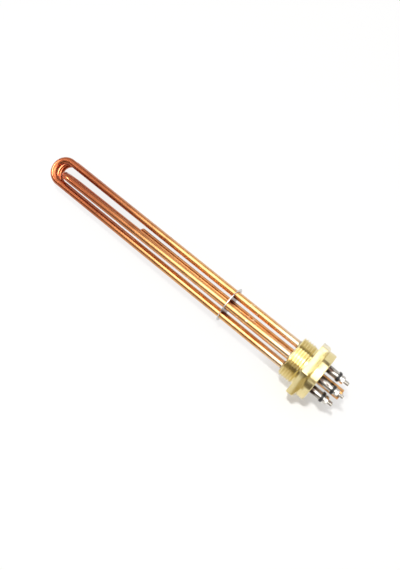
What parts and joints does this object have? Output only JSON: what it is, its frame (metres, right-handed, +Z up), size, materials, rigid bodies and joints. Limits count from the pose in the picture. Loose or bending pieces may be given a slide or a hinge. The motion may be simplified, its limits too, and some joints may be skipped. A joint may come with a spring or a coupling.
{
  "type": "screw plug immersion heater",
  "caption": "Screw-in immersion heater: copper hairpin elements and a sensor pocket in a brass plug with hexagon, pipe thread and stud terminals.",
  "frame": {"origin": "middle of the sealing face, on the plug's axis", "axes": "+X along the plug's axis toward the terminals, elements toward -X; +Z up, with one flat of the hexagon facing down"},
  "size_m": [0.4122, 0.0692, 0.06],
  "materials": {
    "brass": "turned and polished brass",
    "copper": "drawn copper tube, tarnished, tinned near the plug",
    "solder": "solder, dull silver",
    "stainless": "stamped stainless sheet",
    "plated_steel": "nickel-plated steel",
    "black_insulator": "moulded black insulator",
    "magnesia": "packed magnesium oxide powder",
    "heating_alloy": "wound resistance wire"
  },
  "bodies": {
    "root": {"screw_plug": "brass", "solder_fillets": "solder", "sensor_pocket": "copper", "spacer_disc": "stainless", "upper_sheath": "copper", "lower_sheath": "copper", "cross_sheath": "copper", "upper_insulation": "magnesia", "lower_insulation": "magnesia", "cross_insulation": "magnesia", "upper_heating_wire": "heating_alloy", "lower_heating_wire": "heating_alloy", "cross_heating_wire": "heating_alloy", "terminal_stud_1": "plated_steel", "terminal_stud_2": "plated_steel", "terminal_stud_3": "plated_steel", "terminal_stud_4": "plated_steel", "terminal_stud_5": "plated_steel", "terminal_stud_6": "plated_steel", "insulating_bush_1": "black_insulator", "insulating_bush_2": "black_insulator", "insulating_bush_3": "black_insulator", "insulating_bush_4": "black_insulator", "insulating_bush_5": "black_insulator", "insulating_bush_6": "black_insulator", "flat_washer_1": "plated_steel", "flat_washer_2": "plated_steel", "flat_washer_3": "plated_steel", "flat_washer_4": "plated_steel", "flat_washer_5": "plated_steel", "flat_washer_6": "plated_steel", "spring_washer_1": "plated_steel", "spring_washer_2": "plated_steel", "spring_washer_3": "plated_steel", "spring_washer_4": "plated_steel", "spring_washer_5": "plated_steel", "spring_washer_6": "plated_steel", "terminal_nut_1": "plated_steel", "terminal_nut_2": "plated_steel", "terminal_nut_3": "plated_steel", "terminal_nut_4": "plated_steel", "terminal_nut_5": "plated_steel", "terminal_nut_6": "plated_steel"}
  },
  "joints": []
}
